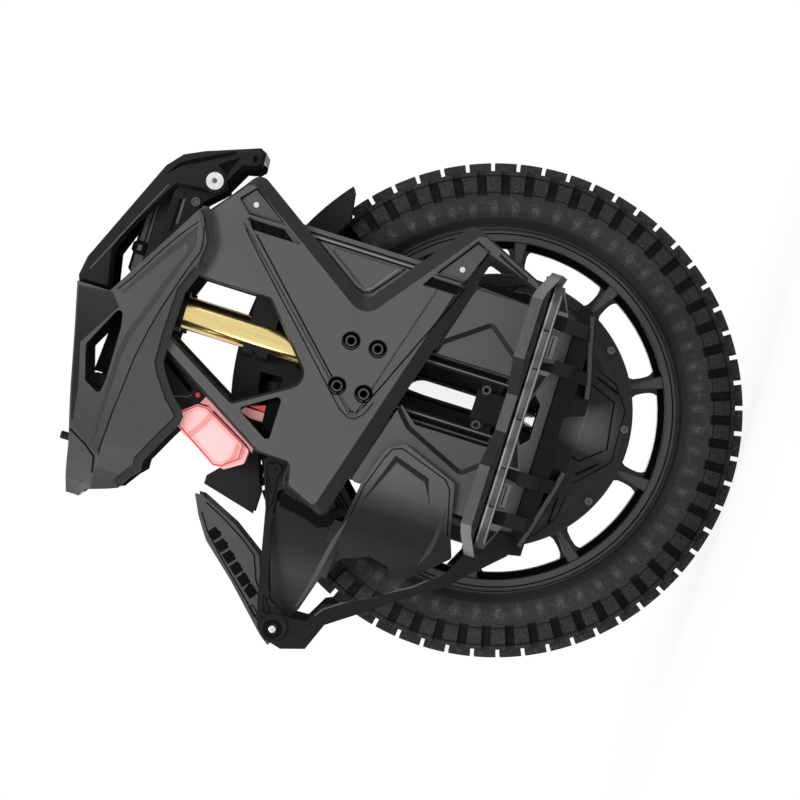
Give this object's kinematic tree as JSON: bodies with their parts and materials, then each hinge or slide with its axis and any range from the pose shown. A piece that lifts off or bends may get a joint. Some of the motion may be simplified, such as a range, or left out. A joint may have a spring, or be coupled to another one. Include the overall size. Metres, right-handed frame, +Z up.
{
  "type": "electric unicycle",
  "caption": "Suspended electric unicycle: knobbly motor wheel in telescopic forks, bevelled side plates, wedge-shaped head with a front arch, rear mudguard and folding pedals.",
  "frame": {"origin": "the point where the tyre stands on level ground, straight under the axle, with the forks upright", "axes": "+X forward to the arch side, +Y to the left, +Z up along the forks; the wheel turns about Y"},
  "size_m": [0.5422, 0.4668, 0.688],
  "materials": {
    "tyre_rubber": "matte moulded rubber",
    "wheel_black": "satin black paint",
    "motor_metal": "bare ring with magnets",
    "copper": "varnished copper windings",
    "steel": "bright steel",
    "valve_brass": "plain brass",
    "chrome_tube": "polished chrome",
    "gold_tube": "gold anodised",
    "black_metal": "black powder coat",
    "panel_black": "matte black-grey moulding",
    "gloss_black": "gloss black moulding",
    "case_grey": "matte moulding",
    "cell_blue": "shrink-wrapped cells",
    "board_green": "circuit board",
    "lens_red": "pale red translucent lens",
    "lens_clear": "clear lamp lens",
    "bright_bolt": "turned bright bolt",
    "pedal_black": "black anodised",
    "pedal_silver": "machined aluminium"
  },
  "bodies": {
    "frame": {"arm_screws": "steel", "battery_packs": "cell_blue", "charge_port": "gloss_black", "chassis": "black_metal", "controller_board": "board_green", "controller_box": "case_grey", "ear_screws": "steel", "fork_clamps": "black_metal", "fork_seals": "tyre_rubber", "fork_tubes": "gold_tube", "front_visor": "panel_black", "guide_rails": "black_metal", "head_roof": "panel_black", "headlight_lens": "lens_clear", "hinge_pins": "steel", "left_front_case": "case_grey", "left_head_panel": "panel_black", "left_lower_cover": "panel_black", "left_pedal_hanger": "black_metal", "left_rear_fender": "panel_black", "left_side_plate": "panel_black", "mudguard_lower_arms": "black_metal", "mudguard_tube": "black_metal", "mudguard_upper_arms": "black_metal", "rear_cases": "case_grey", "rear_mudguard": "panel_black", "right_front_case": "case_grey", "right_head_panel": "panel_black", "right_lower_cover": "panel_black", "right_pedal_hanger": "black_metal", "right_rear_fender": "panel_black", "right_side_plate": "panel_black", "side_plate_bolts": "black_metal", "tail_cap": "gloss_black", "tail_light_housings": "gloss_black", "tail_light_lenses": "lens_red", "visor_bolts": "bright_bolt"},
    "axle_carrier": {"axle": "steel", "motor_stator": "copper", "fork_sliders": "chrome_tube", "axle_clamps": "black_metal", "clamp_bolts": "black_metal", "tyre_hugger": "panel_black", "hugger_stays": "black_metal"},
    "wheel": {"tyre": "tyre_rubber", "rim": "wheel_black", "motor_rotor": "motor_metal", "motor_covers": "wheel_black", "motor_cover_screws": "steel", "wheel_bearings": "steel", "valve_stem": "valve_brass"},
    "right_pedal_body": {"right_pedal": "pedal_black", "right_pedal_bracket": "pedal_silver", "right_pedal_studs": "steel"},
    "left_pedal_body": {"left_pedal": "pedal_black", "left_pedal_bracket": "pedal_silver", "left_pedal_studs": "steel"},
    "button": {"power_button": "gloss_black"}
  },
  "joints": [
    {"name": "suspension", "type": "slide", "parent": "frame", "child": "axle_carrier", "axis": [0, 0, 1], "range_m": [0, 0.075], "stiffness_N_per_m": 20000, "springref_m": -0.01},
    {"name": "wheel_spin", "type": "hinge", "parent": "axle_carrier", "child": "wheel", "pos_m": [0, 0, 0.25], "axis": [0, 1, 0], "continuous": true},
    {"name": "right_pedal_fold", "type": "hinge", "parent": "frame", "child": "right_pedal_body", "pos_m": [0, -0.125, 0.222], "axis": [-1, 0, 0], "range_deg": [0, 68]},
    {"name": "left_pedal_fold", "type": "hinge", "parent": "frame", "child": "left_pedal_body", "pos_m": [0, 0.125, 0.222], "axis": [1, 0, 0], "range_deg": [0, 68]},
    {"name": "button_press", "type": "slide", "parent": "frame", "child": "button", "axis": [0, 0, -1], "range_m": [0, 0.0015], "stiffness_N_per_m": 800, "springref_m": -0.001}
  ]
}
